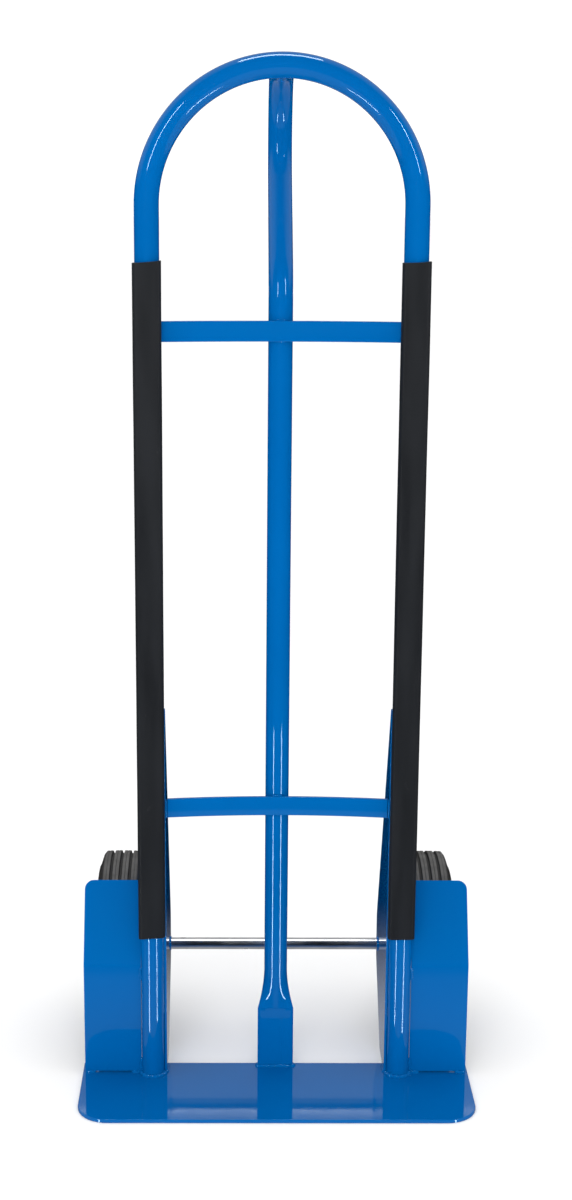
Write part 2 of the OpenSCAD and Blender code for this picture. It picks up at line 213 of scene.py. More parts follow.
def bead(path, radius, seed, closed=False):
    """A lumpy weld bead along a path, rippled along its length, with tapered ends unless it is closed."""
    step, pitch = 0.0007, 0.0026
    sides = 12
    legs = list(zip(path, path[1:] + path[:1] if closed else path[1:]))
    points = []
    for start, end in legs:
        count = max(1, round((end - start).length / step))
        points += [start.lerp(end, i / count) for i in range(count)]
    if not closed:
        points.append(path[-1])
    total = len(points)
    side = None
    rings = []
    for i, point in enumerate(points):
        ahead = points[(i + 1) % total] if closed else points[min(i + 1, total - 1)]
        behind = points[i - 1] if closed else points[max(i - 1, 0)]
        tangent = (ahead - behind).normalized()
        if side is None:
            side = tangent.orthogonal().normalized()
        side = (side - tangent * side.dot(tangent)).normalized()
        across = tangent.cross(side)
        wobble = noise.noise(Vector((i * step * 260, seed * 7.3, 0)))
        ripple = abs(math.sin(math.pi * i * step / pitch + wobble * 1.5))
        swell = 0.80 + 0.20 * ripple + 0.30 * wobble
        if not closed:
            from_end = min(i, total - 1 - i) * step / radius
            swell *= math.sqrt(max(0.03, 1 - (1 - min(from_end, 1)) ** 2))
        ring = []
        for k in range(sides):
            a = 2 * math.pi * k / sides
            bump = noise.noise(Vector((k * 0.9, i * step * 420, seed * 3.1)))
            spoke = side * math.cos(a) + across * math.sin(a)
            ring.append(point + spoke * radius * (swell + 0.10 * bump))
        rings.append(ring)
    return loft(rings, wrap=closed)


def hexagon_head(centre, direction, apothem, height, chamfer=0.0006):
    """A bolt head or a nut: a hexagonal prism whose corners are turned down at both ends."""
    u = direction.orthogonal().normalized()
    v = direction.cross(u)
    count = 48
    rings = []
    levels = ((0, 1.0), (0, 1.06), (chamfer, 2), (height - chamfer, 2), (height, 1.06), (height, 1.0))
    for level, limit in levels:
        ring = []
        for k in range(count):
            a = 2 * math.pi * k / count
            flat = (a + math.pi / 6) % (math.pi / 3) - math.pi / 6
            r = apothem * min(1 / math.cos(flat), limit)
            if level in (0, height) and limit == 1.0:
                r = apothem * 0.8
            ring.append(centre + direction * level + u * r * math.cos(a) + v * r * math.sin(a))
        rings.append(ring)
    return loft(rings)


# ---------------------------------------------------------------------------
# Materials
# ---------------------------------------------------------------------------

RANGE_SOCKETS = ("From Min", "From Max", "To Min", "To Max")


class Surface:
    """A material on one Principled shader, whose patterns come from object coordinates in metres."""

    def __init__(self, name, **uniform):
        self.material = bpy.data.materials.new(name)
        self.material.use_nodes = True
        self.tree = self.material.node_tree
        self.shader = self.tree.nodes["Principled BSDF"]
        self.coordinates = self.tree.nodes.new("ShaderNodeTexCoord").outputs["Object"]
        for socket, value in uniform.items():
            self.shader.inputs[socket.replace("_", " ")].default_value = value

    def link(self, source, target):
        self.tree.links.new(source, target)

    def stretched(self, scale):
        """Coordinates multiplied by scale along X, Y and Z."""
        node = self.tree.nodes.new("ShaderNodeMapping")
        node.inputs["Scale"].default_value = scale
        self.link(self.coordinates, node.inputs["Vector"])
        return node.outputs["Vector"]

    def noise(self, scale, detail=3.0, roughness=0.5, vector=None):
        node = self.tree.nodes.new("ShaderNodeTexNoise")
        node.inputs["Scale"].default_value = scale
        node.inputs["Detail"].default_value = detail
        node.inputs["Roughness"].default_value = roughness
        self.link(vector or self.coordinates, node.inputs["Vector"])
        return node.outputs["Fac"]

    def ramp(self, factor, *stops):
        """A colour ramp through (position, colour) stops."""
        node = self.tree.nodes.new("ShaderNodeValToRGB")
        elements = node.color_ramp.elements
        while len(elements) < len(stops):
            elements.new(0.5)
        for element, (position, colour) in zip(elements, stops):
            element.position = position
            element.color = (*colour, 1)
        self.link(factor, node.inputs["Fac"])
        return node.outputs["Color"]

    def spread(self, factor, low, high, low_in=0.3, high_in=0.7):
        """Maps a pattern's range to values from low to high."""
        node = self.tree.nodes.new("ShaderNodeMapRange")
        for socket, value in zip(RANGE_SOCKETS, (low_in, high_in, low, high)):
            node.inputs[socket].default_value = value
        self.link(factor, node.inputs["Value"])
        return node.outputs["Result"]

    def mix(self, factor, first, second):
        node = self.tree.nodes.new("ShaderNodeMix")
        node.data_type = "RGBA"
        self.link(factor, node.inputs["Factor"])
        self.link(first, node.inputs[6])
        self.link(second, node.inputs[7])
        return node.outputs[2]

    def colour(self, source):
        self.link(source, self.shader.inputs["Base Color"])

    def roughness(self, source):
        self.link(source, self.shader.inputs["Roughness"])

    def bump(self, *layers):
        """Relief from (pattern, height in metres) layers."""
        normal = None
        for pattern, height in layers:
            node = self.tree.nodes.new("ShaderNodeBump")
            node.inputs["Strength"].default_value = 1.0
            node.inputs["Distance"].default_value = height
            self.link(pattern, node.inputs["Height"])
            if normal is not None:
                self.link(normal, node.inputs["Normal"])
            normal = node.outputs["Normal"]
        self.link(normal, self.shader.inputs["Normal"])


def powder_coat():
    """Glossy blue powder coat with a slight orange peel."""
    paint = Surface("blue_powder_coat", IOR=1.5, Specular_Tint=(0.55, 0.80, 1.0, 1))
    tone = paint.noise(5, detail=2)
    paint.colour(paint.ramp(tone, (0.3, (0.0, 0.092, 0.316)), (0.7, (0.0, 0.101, 0.342))))
    paint.roughness(paint.spread(paint.noise(90, detail=4), 0.035, 0.065))
    peel = paint.noise(300, detail=1.5)
    speckle = paint.noise(1400, detail=1)
    paint.bump((peel, 0.000008), (speckle, 0.000002))
    return paint.material


def bumper_rubber():
    """Charcoal extruded rubber with a fine grain, faint drag lines and pale scuffs."""
    rubber = Surface("charcoal_rubber", IOR=1.45)
    grain = rubber.noise(55, detail=5, vector=rubber.stretched((1, 1, 0.12)))
    base = rubber.ramp(grain, (0.3, (0.0045, 0.0062, 0.0094)), (0.7, (0.0082, 0.0106, 0.0150)))
    scuff = rubber.noise(70, detail=6, roughness=0.7, vector=rubber.stretched((1, 1, 0.5)))
    scuff = rubber.spread(scuff, 0, 0.5, low_in=0.66, high_in=0.78)
    pale = rubber.ramp(grain, (0.3, (0.060, 0.064, 0.070)), (0.7, (0.090, 0.094, 0.100)))
    rubber.colour(rubber.mix(scuff, base, pale))
    rubber.roughness(rubber.spread(grain, 0.46, 0.60))
    drag = rubber.noise(900, detail=2, vector=rubber.stretched((1, 1, 0.05)))
    rubber.bump((drag, 0.00003), (rubber.noise(1600, detail=2), 0.00003))
    return rubber.material


def tyre_rubber(side):
    """Black tyre rubber, a paler grey on the tread's crown than in the grooves and on the walls, with fine
    lines round the wheel.
    """
    rubber = Surface(SIDE_NAMES[side] + "_tyre_rubber", IOR=1.48)
    offset = rubber.tree.nodes.new("ShaderNodeVectorMath")
    offset.operation = "SUBTRACT"
    offset.inputs[1].default_value = (0, axle_y, axle_z)
    rubber.link(rubber.coordinates, offset.inputs[0])
    flatten = rubber.tree.nodes.new("ShaderNodeVectorMath")
    flatten.operation = "MULTIPLY"
    flatten.inputs[1].default_value = (0, 1, 1)
    rubber.link(offset.outputs["Vector"], flatten.inputs[0])
    radius = rubber.tree.nodes.new("ShaderNodeVectorMath")
    radius.operation = "LENGTH"
    rubber.link(flatten.outputs["Vector"], radius.inputs[0])
    distance = radius.outputs["Value"]
    mottle = rubber.noise(60, detail=6, roughness=0.65)
    base = rubber.ramp(mottle, (0.3, (0.0085, 0.0085, 0.0090)), (0.7, (0.0190, 0.0190, 0.0200)))
    # The tread's crown is mixed up to three quarters of the way to a paler grey; the grooves and walls stay
    # near black.
    crown_grey = rubber.ramp(mottle, (0.3, (0.062, 0.061, 0.058)), (0.7, (0.145, 0.142, 0.136)))
    crown = rubber.spread(distance, 0, 0.75, low_in=wheel_r - 0.0022, high_in=wheel_r - 0.0002)
    rubber.colour(rubber.mix(crown, base, crown_grey))
    rubber.roughness(rubber.spread(mottle, 0.50, 0.72))
    lathe = rubber.tree.nodes.new("ShaderNodeCombineXYZ")
    split = rubber.tree.nodes.new("ShaderNodeSeparateXYZ")
    rubber.link(rubber.coordinates, split.inputs["Vector"])
    rubber.link(split.outputs["X"], lathe.inputs["X"])
    rubber.link(distance, lathe.inputs["Y"])
    rings = rubber.noise(1100, detail=2, vector=lathe.outputs["Vector"])
    rubber.bump((rings, 0.00009), (rubber.noise(1500, detail=2), 0.00003))
    return rubber.material


def plated_steel():
    """Bright zinc plate with faint drawing lines along the axle."""
    plate = Surface("bright_zinc_plate", Metallic=1.0)
    cloud = plate.noise(40, detail=4)
    plate.colour(plate.ramp(cloud, (0.3, (0.56, 0.575, 0.60)), (0.7, (0.70, 0.71, 0.72))))
    plate.roughness(plate.spread(plate.noise(30, detail=2), 0.27, 0.32))
    drawn = plate.noise(1500, detail=2, vector=plate.stretched((0.02, 1, 1)))
    plate.bump((drawn, 0.000002))
    return plate.material


def ground_steel():
    """Ground bearing steel with fine turned lines."""
    steel = Surface("ground_bearing_steel", Metallic=1.0)
    cloud = steel.noise(200, detail=3)
    steel.colour(steel.ramp(cloud, (0.3, (0.50, 0.50, 0.51)), (0.7, (0.60, 0.60, 0.60))))
    steel.roughness(steel.spread(steel.noise(700, detail=3), 0.22, 0.36))
    turned = steel.noise(2500, detail=2, vector=steel.stretched((1, 0.1, 0.1)))
    steel.bump((turned, 0.000004))
    return steel.material


PAINT = powder_coat()
RUBBER = bumper_rubber()
PLATE = plated_steel()
STEEL = ground_steel()
TYRE = {side: tyre_rubber(side) for side in (LEFT, RIGHT)}


# ---------------------------------------------------------------------------
# Pieces
# ---------------------------------------------------------------------------

def make_piece(name, shells, material, body, slot, nodes=(), sharp=40, bevel=0):
    """Joins shells into one object that rides on a body and stands for CAD nodes."""
    mesh = bpy.data.meshes.new(name)
    bm = bmesh.new()
    for points, faces in shells:
        verts = [bm.verts.new(p) for p in points]
        for face in faces:
            bm.faces.new([verts[i] for i in face])
    bmesh.ops.recalc_face_normals(bm, faces=bm.faces)
    bm.to_mesh(mesh)
    bm.free()
    mesh.polygons.foreach_set("use_smooth", [True] * len(mesh.polygons))
    mesh.set_sharp_from_angle(angle=math.radians(sharp))
    mesh.materials.append(material)
    piece = bpy.data.objects.new(name, mesh)
    bpy.context.scene.collection.objects.link(piece)
    if bevel:
        round_edges(piece, bevel)
    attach(piece, body)
    if nodes:
        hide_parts(*nodes)


def round_edges(piece, width, segments=3):
    """Rounds the sharp edges of a piece."""
    modifier = piece.modifiers.new("rounded_edges", "BEVEL")
    modifier.width = width
    modifier.segments = segments
    modifier.limit_method = "ANGLE"
    modifier.angle_limit = math.radians(50)
    modifier.harden_normals = True


def frame_piece(name, shells, nodes=(), **options):
    """A painted piece of the frame."""
    make_piece(name, shells, PAINT, "frame", "frame_paint", nodes, **options)


def weld_piece(name, beads, body="frame"):
    """Weld beads under the same paint."""
    make_piece(name, beads, PAINT, body, "frame_paint", sharp=60)


def build_hoop():
    """The rails and handle loop, bent from one tube."""
    up = [Vector((-rail_x, rail_y, z)) for z in spaced(plate_top, hoop_z, 24)]
    over = [
        Vector((-rail_x * math.cos(a), rail_y, hoop_z + rail_x * math.sin(a)))
        for a in spaced(0, math.pi, 96)
    ]
    down = [Vector((rail_x, rail_y, z)) for z in spaced(hoop_z, plate_top, 24)]
    frame_piece("tube_hoop", [sweep(up + over[1:-1] + down, circle(tube_r), -Y_AXIS)], ["frame_hoop"])


def spine_path():
    """The spine's centre line from the end of its foot to the back of the hoop."""
    bend_y = handle_bend_r * (1 - math.cos(handle_lean))
    bend_z = handle_bend_r * math.sin(handle_lean)
    slant = (handle_y - spine_y - 2 * bend_y) / math.sin(handle_lean)
    top_z = hoop_top_z - handle_top_r
    low_z = top_z - 2 * bend_z - slant * math.cos(handle_lean)
    path = [Vector((0, spine_y, z)) for z in spaced(foot_round_z, low_z, 20)]
    for a in spaced(0, handle_lean, 16)[1:]:
        y = spine_y + handle_bend_r * (1 - math.cos(a))
        path.append(Vector((0, y, low_z + handle_bend_r * math.sin(a))))
    for a in spaced(handle_lean, 0, 16):
        y = handle_y - handle_bend_r * (1 - math.cos(a))
        path.append(Vector((0, y, top_z - handle_bend_r * math.sin(a))))
    for a in spaced(0, math.pi / 2, 32)[1:]:
        y = handle_y - handle_top_r * (1 - math.cos(a))
        path.append(Vector((0, y, top_z + handle_top_r * math.sin(a))))
    path.append(Vector((0, rail_y + tube_r / 2, hoop_top_z)))
    return path


def foot_ring(z):
    """The spine's section at a height between the toe plate and the round tube."""
    flat = pressed_section(foot_w, foot_t, foot_roll, SPINE_POINTS)
    flat_y = spine_front + foot_t / 2
    press_step = 0.0004
    if z <= foot_flat_z:
        dent_x, dent_w, dent_depth = 0.008, 0.0012, 0.00035
        fade = smooth_step((z - 0.010) / 0.012) * smooth_step((0.080 - z) / 0.020)
        ring = []
        for a, b in flat:
            y = flat_y + b
            if b < 0:
                y += press_step - dent_depth * fade * math.exp(-((a - dent_x) / dent_w) ** 2)
            ring.append(Vector((a, y, z)))
        return ring
    share = 1 - (1 - (z - foot_flat_z) / (foot_round_z - foot_flat_z)) ** 2
    centre_y = flat_y + (spine_y - flat_y) * share
    ring = []
    for (a, b), (c, d) in zip(flat, circle(tube_r, SPINE_POINTS)):
        ring.append(Vector((a + (c - a) * share, centre_y + b + (d - b) * share, z)))
    return ring


def build_spine():
    """The middle tube, pressed flat at its foot and round above it."""
    flat_levels = spaced(plate_top, foot_flat_z, 24)
    flare_levels = spaced(foot_flat_z + 0.0006, foot_round_z, 26)
    rings = [foot_ring(z) for z in flat_levels + flare_levels]
    path = spine_path()
    outline = circle(tube_r, SPINE_POINTS)
    for i in range(1, len(path)):
        tangent = (path[min(i + 1, len(path) - 1)] - path[i - 1]).normalized()
        across = tangent.cross(X_AXIS)
        rings.append([path[i] + X_AXIS * a + across * b for a, b in outline])
    frame_piece("spine_and_handle", [loft(rings)], ["spine_tube"], sharp=24)


def build_strap(name):
    """A flat bar bowed backward, with rolled edges; its ends run into what it is welded to."""
    low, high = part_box(name)
    thickness = 0.005
    bow = spine_front - thickness / 2 - rail_y
    bow_r = (rail_x ** 2 + bow ** 2) / (2 * bow)
    reach = high.x - 0.002 if high.x < rail_x - tube_r else rail_x - tube_r / 2
    path = []
    for x in spaced(-reach, reach, 64):
        y = rail_y + bow - bow_r + math.sqrt(bow_r ** 2 - x ** 2)
        path.append(Vector((x, y, (low.z + high.z) / 2)))
    h, t, edge_r = (high.z - low.z) / 2, thickness / 2, 0.0012
    outline = rounded([(-h, -t), (h, -t), (h, t), (-h, t)], [edge_r] * 4, steps=4)
    frame_piece(name.replace("cross", "flat"), [sweep(path, outline, Z_AXIS)], [name])


def build_toe_plate():
    """The flat plate that the load stands on."""
    low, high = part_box("toe_plate")
    front_r, rear_r = 0.040, 0.0015
    outline = rounded(
        [(low.x, low.y), (high.x, low.y), (high.x, high.y), (low.x, high.y)],
        [front_r, front_r, rear_r, rear_r],
        steps=24,
    )
    shell = prism(outline, Vector((0, 0, low.z)), X_AXIS, Y_AXIS, Vector((0, 0, high.z - low.z)))
    frame_piece("toe_plate_sheet", [shell], ["toe_plate"], bevel=0.0011)


def bracket_outline(low, high):
    """Side view of an axle bracket, as (y, z)."""
    foot_rear = axle_y - 0.070
    tip_w = 0.007
    return rounded(
        [
            (low.y, low.z),
            (foot_rear, low.z),
            (high.y, axle_z - 0.025),
            (high.y, axle_z + 0.036),
            (low.y + tip_w, high.z),
            (low.y, high.z),
        ],
        [0, 0.010, 0.022, 0.030, 0.003, 0],
        steps=10,
    )


def build_bracket(side):
    """One of the plates that carry the axle."""
    name = SIDE_NAMES[side] + "_axle_bracket"
    low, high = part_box(name)
    outline = bracket_outline(low, high)
    shell = prism(outline, Vector((low.x, 0, 0)), Y_AXIS, Z_AXIS, X_AXIS * (high.x - low.x))
    frame_piece(SIDE_NAMES[side] + "_gusset", [shell], [name], bevel=0.0006)


def guard_fold(run, front_y, fold_z, lean, fold_r):
    """A point and its outward normal on the guard's front face, run metres up along the sheet."""
    start = fold_z - fold_r * math.tan(lean / 2)
    bend_len = fold_r * lean
    if run <= start:
        return Vector((0, front_y, run)), Vector((0, -1, 0))
    if run <= start + bend_len:
        a = (run - start) / fold_r
        y = front_y + fold_r * (1 - math.cos(a))
        return Vector((0, y, start + fold_r * math.sin(a))), Vector((0, -math.cos(a), math.sin(a)))
    along = run - start - bend_len
    end_y = front_y + fold_r * (1 - math.cos(lean))
    end_z = start + fold_r * math.sin(lean)
    up = Vector((0, math.sin(lean), math.cos(lean)))
    return Vector((0, end_y, end_z)) + up * along, Vector((0, -math.cos(lean), math.sin(lean)))


def corner_cut(radius, from_top):
    """How far a round corner draws the sheet's side in, from_top metres below its top edge."""
    return radius - math.sqrt(max(radius ** 2 - max(radius - from_top, 0) ** 2, 0))


def build_guard(side):
    """A folded sheet with round top corners that stands on two small feet."""
    name = SIDE_NAMES[side] + "_wheel_guard"
    low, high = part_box(name)
    thickness = 0.0035
    fold_z, lean, fold_r = 0.157, math.radians(25), 0.0095
    inner_x, outer_x = rail_x + tube_r + 0.0003, max(abs(low.x), abs(high.x))
    gap_top = low.z + 0.002
    inner_r, outer_r = 0.006, 0.012
    start = fold_z - fold_r * math.tan(lean / 2)
    bend_len = fold_r * lean
    end_z = start + fold_r * math.sin(lean)
    top_run = start + bend_len + (high.z - end_z) / math.cos(lean)
    runs = [low.z, gap_top] + spaced(gap_top, start, 10)[1:] + spaced(start, start + bend_len, 8)[1:]
    runs += spaced(start + bend_len, top_run - outer_r, 8)[1:]
    runs += [top_run - outer_r * (1 - math.sin(a)) for a in spaced(0, math.pi / 2, 10)[1:]]
    rows = []
    for run in runs:
        from_top = top_run - run
        x0, x1 = inner_x + corner_cut(inner_r, from_top), outer_x - corner_cut(outer_r, from_top)
        centre, normal = guard_fold(run, low.y, fold_z, lean, fold_r)
        inner = spaced(inner_x + guard_foot, outer_x - guard_foot, 8)
        xs = [x0] + [min(max(x, x0 + 0.001), x1 - 0.001) for x in inner] + [x1]
        rows.append([(Vector((side * x, 0, 0)) + centre, normal) for x in xs])
    columns = len(rows[0])
    points = [p for row in rows for p, n in row]
    points += [p - n * thickness for row in rows for p, n in row]
    back = len(points) // 2

    def there(r, c):
        return 0 <= r < len(rows) - 1 and 0 <= c < columns - 1 and not (r == 0 and 0 < c < columns - 2)

    faces = []
    for r in range(len(rows) - 1):
        for c in range(columns - 1):
            if not there(r, c):
                continue
            a, b = r * columns + c, r * columns + c + 1
            d, e = a + columns, b + columns
            faces.append((a, b, e, d))
            faces.append((back + a, back + d, back + e, back + b))
            for (p, q), open_edge in (
                ((a, b), not there(r - 1, c)),
                ((e, d), not there(r + 1, c)),
                ((d, a), not there(r, c - 1)),
                ((b, e), not there(r, c + 1)),
            ):
                if open_edge:
                    faces.append((q, p, back + p, back + q))
    used = sorted({i for face in faces for i in face})
    order = {old: new for new, old in enumerate(used)}
    shell = [points[i] for i in used], [tuple(order[i] for i in face) for face in faces]
    frame_piece(SIDE_NAMES[side] + "_guard_sheet", [shell], [name], sharp=50, bevel=0.0007)


def bumper_outline():
    """Top view of a rub strip, open at the back where the rail sits in it, about the rail's middle."""
    half_w, front, rear = bumper_half_w, -0.018, -0.004
    corner_r, lip_r, lip_w = 0.005, 0.0008, 0.0002
    seat_r = tube_r + 0.00005
    lip_x = math.sqrt(seat_r ** 2 - rear ** 2)
    right_half = [(lip_x + lip_w, rear), (half_w, rear), (half_w, front)]
    left_half = [(-half_w, front), (-half_w, rear), (-lip_x - lip_w, rear)]
    outer = rounded(right_half + left_half, [0, lip_r, corner_r, corner_r, lip_r, 0], steps=8)
    start = math.atan2(rear, -lip_x)
    end = math.atan2(rear, lip_x)
    seat = [(seat_r * math.cos(a), seat_r * math.sin(a)) for a in spaced(start, end, 28)]
    return list(reversed(outer)) + list(reversed(seat))


def build_bumper(side):
    """An extruded rubber strip with slightly skewed cuts and a faint waviness along its length."""
    name = SIDE_NAMES[side] + "_rail_bumper"
    low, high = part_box(name)
    top_skew, bottom_skew = {LEFT: (0.0014, 0.0012), RIGHT: (0.0009, 0.0001)}[side]
    wave_height = 0.00022
    outline = bumper_outline()
    rings = []
    levels = 120
    for i, z in enumerate(spaced(low.z, high.z, levels)):
        ring = []
        for x, y in outline:
            lift = 0
            if i == levels:
                lift = top_skew * (x / bumper_half_w - 1)
            if i == 0:
                lift = bottom_skew * (x / bumper_half_w + 1)
            wave = noise.noise(Vector((side * 3 + x * 40, y * 40, z * 9)))
            front_share = smooth_step((-0.006 - y) / 0.010)
            edge_share = smooth_step((abs(x) - 0.012) / 0.005)
            dy = wave_height * wave * front_share
            dx = wave_height * wave * edge_share * (1 if x > 0 else -1)
            ring.append(Vector((side * rail_x + x + dx, rail_y + y + dy, z + lift)))
        rings.append(ring)
    piece = SIDE_NAMES[side] + "_rub_strip"
    make_piece(piece, [loft(rings)], RUBBER, "frame", "black_rubber", [name], sharp=35)


# ---------------------------------------------------------------------------
# Wheels
# ---------------------------------------------------------------------------

def wheel_centre(side):
    """The middle of a wheel, on the axle's line."""
    return Vector((side * wheel_x, axle_y, axle_z))


def tread_radius(x):
    """Radius of the tread at a distance x from the wheel's middle: ribs, grooves and fine rings."""
    groove_depth, groove_half = 0.0038, 0.0018
    radius = wheel_r - 0.0006 * (x / 0.022) ** 2
    for middle in (-0.0125, 0, 0.0125):
        away = abs(x - middle)
        radius -= groove_depth * (1 - smooth_step((away - groove_half + 0.0004) / 0.0009))
    for middle in (-0.0185, -0.0063, 0.0063, 0.0185):
        radius -= 0.0007 * max(0, 1 - abs(x - middle) / 0.0007)
    return radius


def tyre_profile():
    """Half section of the tyre, as (radius, distance outward)."""
    tread_half = 0.022
    foot_half, foot_r, flange_r = 0.0239, 0.0721, 0.084
    bulge_r = wheel_r - 0.030
    side_wall = rounded(
        [
            (wheel_r - 0.0006, tread_half),
            (wheel_r - 0.0045, tread_half + 0.0032),
            (bulge_r + 0.011, tyre_half_w - 0.0010),
            (bulge_r + 0.010, tyre_half_w),
            (bulge_r + 0.0075, tyre_half_w),
            (bulge_r + 0.0065, tyre_half_w - 0.0010),
            (bulge_r - 0.004, tyre_half_w - 0.0008),
            (flange_r + 0.0025, foot_half + 0.0020),
            (flange_r + 0.0020, foot_half),
            (foot_r, foot_half),
        ],
        [0, 0.006, 0.003, 0.0006, 0.0006, 0.0008, 0.006, 0.0015, 0.0006, 0],
        steps=5,
    )
    tread = [(tread_radius(x), x) for x in spaced(-tread_half, tread_half, 132)]
    other_wall = [(r, -x) for r, x in reversed(side_wall)]
    return tread[1:-1] + side_wall + other_wall


def rim_profile():
    """Section of one rim half: cone, flat web, barrel and rolled flange, with a pressed bead in the web."""
    web_r, hub_z, dish = 0.039, 0.008, 0.0008
    barrel_r, flange_r, half_w, t = 0.072, 0.084, 0.026, rim_t
    return rounded(
        [
            (hub_r, hub_z),
            (web_r - hub_z, hub_z),
            (web_r, 0),
            (barrel_r, 0),
            (barrel_r, half_w - t),
            (flange_r, half_w - t),
            (flange_r, half_w),
            (barrel_r - t, half_w),
            (barrel_r - t, t),
            (0.0655, t),
            (0.0640, t + 0.0012),
            (0.0625, t),
            (web_r + dish, t),
            (web_r - hub_z + dish, hub_z + t),
            (hub_r, hub_z + t),
        ],
        [0, 0.003, 0.003, 0.003, 0.0015, 0.0008, 0.0008, 0.003, 0.003, 0.001, 0.001, 0.001, 0.003, 0.003, 0],
        steps=5,
    )


def collar_profile(outer_r, inner_r, start, end):
    """Section of a ring with broken edges."""
    corners = [(inner_r, start), (outer_r, start), (outer_r, end), (inner_r, end)]
    return rounded(corners, [0.0004] * 4, steps=3)


def bolt_places(side):
    """Centres of the rim bolts on the wheel's middle plane."""
    bolt_r, count = 0.055, 4
    for i in range(count):
        a = 2 * math.pi * i / count
        yield wheel_centre(side) + Vector((0, bolt_r * math.sin(a), bolt_r * math.cos(a)))


def hub_profile():
    """Section of the hub tube, wider inside where the bearings sit."""
    half, bore_r, seat_r, seat_x = 0.0285, 0.0155, 0.0176, 0.0175
    step = 0.0001
    return rounded(
        [
            (seat_r, -half),
            (hub_r, -half),
            (hub_r, half),
            (seat_r, half),
            (seat_r, seat_x + step),
            (bore_r, seat_x - step),
            (bore_r, step - seat_x),
            (seat_r, -seat_x - step),
        ],
        [0.0005, 0.0008, 0.0008, 0.0005, 0, 0, 0, 0],
        steps=4,
    )


def build_rim_bolts(side):
    """The hexagon bolts and nuts that clamp the two rim halves together."""
    name = SIDE_NAMES[side]
    body = name + "_wheel"
    outward = X_AXIS * side
    apothem, head_t, nut_t = 0.00498, 0.004, 0.005
    shank_r, past_nut = 0.003, 0.002
    bolts, nuts = [], []
    for place in bolt_places(side):
        bolts.append(hexagon_head(place + outward * rim_t, outward, apothem, head_t))
        shank_end = place - outward * (rim_t + nut_t + past_nut)
        bolts.append(shank(shank_end, outward, shank_r, 2 * rim_t + nut_t + past_nut))
        nuts.append(hexagon_head(place - outward * (rim_t + nut_t), outward, apothem, nut_t))
    make_piece(name + "_hex_bolts", bolts, PLATE, body, "plated_steel", [name + "_rim_bolts"])
    make_piece(name + "_hex_nuts", nuts, PLATE, body, "plated_steel", [name + "_rim_nuts"])


def build_hub_welds(side):
    """A bead on each face of the wheel, where the rim half meets the hub."""
    weld_r, weld_x = hub_r + 0.0002, 0.0105
    rings = []
    for way in (1, -1):
        middle = wheel_centre(side) + X_AXIS * way * weld_x
        ring = [
            middle + Vector((0, weld_r * math.cos(a), weld_r * math.sin(a)))
            for a in spaced(0, 2 * math.pi, 48)[:-1]
        ]
        rings.append(bead(ring, 0.0018, seed=40 + way + side * 3, closed=True))
    weld_piece(SIDE_NAMES[side] + "_hub_welds", rings, SIDE_NAMES[side] + "_wheel")


def build_wheel(side):
    """One wheel: tyre, two rim halves, hub, bolts, nuts and hub welds."""
    name = SIDE_NAMES[side]
    body = name + "_wheel"
    centre = wheel_centre(side)
    tyre = revolve(tyre_profile(), centre, side, 160)
    make_piece(name + "_rubber_tyre", [tyre], TYRE[side], body, "tyre_rubber", [name + "_tyre"], sharp=60)
    for half, way in (("outer", side), ("inner", -side)):
        shell = revolve(rim_profile(), centre, way, 128)
        make_piece(f"{name}_{half}_rim_pan", [shell], PAINT, body, "frame_paint", [f"{name}_{half}_rim"])
    hub = revolve(hub_profile(), centre, side)
    make_piece(name + "_hub_barrel", [hub], PLATE, body, "plated_steel", [name + "_hub"])
    build_rim_bolts(side)
    build_hub_welds(side)


def shank(base, direction, radius, length):
    """A round bolt end with a chamfer and rolled thread ridges where it shows past the nut."""
    u = direction.orthogonal().normalized()
    v = direction.cross(u)
    rings = []
    chamfer = 0.0005
    levels = [(0, radius - chamfer), (chamfer, radius)]
    levels += [(0.0006 + 0.0005 * i, radius - (0.00025 if i % 2 else 0)) for i in range(1, 5)]
    levels += [(length, radius)]
    for level, r in levels:
        rings.append([base + direction * level + u * a + v * b for a, b in circle(r, 32)])
    return loft(rings)


def build_axle_fittings(side):
    """Sleeve, end washer and split pin of one wheel."""
    name = SIDE_NAMES[side]
    middle = Vector((0, axle_y, axle_z))
    collars = (("_axle_sleeve", "_spacer_sleeve", 0.011), ("_end_washer", "_flat_washer", 0.017))
    for node, piece, outer_r in collars:
        low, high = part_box(name + node)
        start, end = sorted((abs(low.x), abs(high.x)))
        profile = collar_profile(outer_r, axle_r + 0.0001, start, end)
        collar = revolve(profile, middle, side)
        make_piece(name + piece, [collar], PLATE, "frame", "plated_steel", [name + node])
    build_split_pin(side)


def build_split_pin(side):
    """A split pin: one wire up through the axle, round an eye and down again, its ends bent apart."""
    name = SIDE_NAMES[side]
    low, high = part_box(name + "_cotter_pin")
    x = (low.x + high.x) / 2
    wire_r, eye_r, spread_y = 0.0008, 0.0032, 0.0045
    eye_z = high.z - eye_r - wire_r
    neck_z = axle_z + axle_r + 0.0012
    exit_z = axle_z - axle_r - 0.0008
    leg = [Vector((x, axle_y + wire_r, z)) for z in spaced(exit_z, neck_z, 12)]
    end = []
    for s in spaced(1, 0, 8)[:-1]:
        end.append(Vector((x, axle_y + wire_r + spread_y * s ** 2, exit_z - (exit_z - low.z) * s)))
    opening = math.asin(wire_r / eye_r)
    loop = []
    for a in spaced(-math.pi / 2 + opening, math.pi * 1.5 - opening, 40):
        loop.append(Vector((x, axle_y + eye_r * math.cos(a), eye_z + eye_r * math.sin(a))))
    path = end + leg + loop
    path += [Vector((x, 2 * axle_y - p.y, p.z)) for p in reversed(leg)]
    path += [Vector((x, 2 * axle_y - p.y, p.z)) for p in reversed(end)]
    shell = sweep(path, circle(wire_r, 20), X_AXIS)
    node = name + "_cotter_pin"
    make_piece(name + "_split_pin", [shell], PLATE, "frame", "plated_steel", [node], sharp=60)


# ---------------------------------------------------------------------------
# Welds
# ---------------------------------------------------------------------------

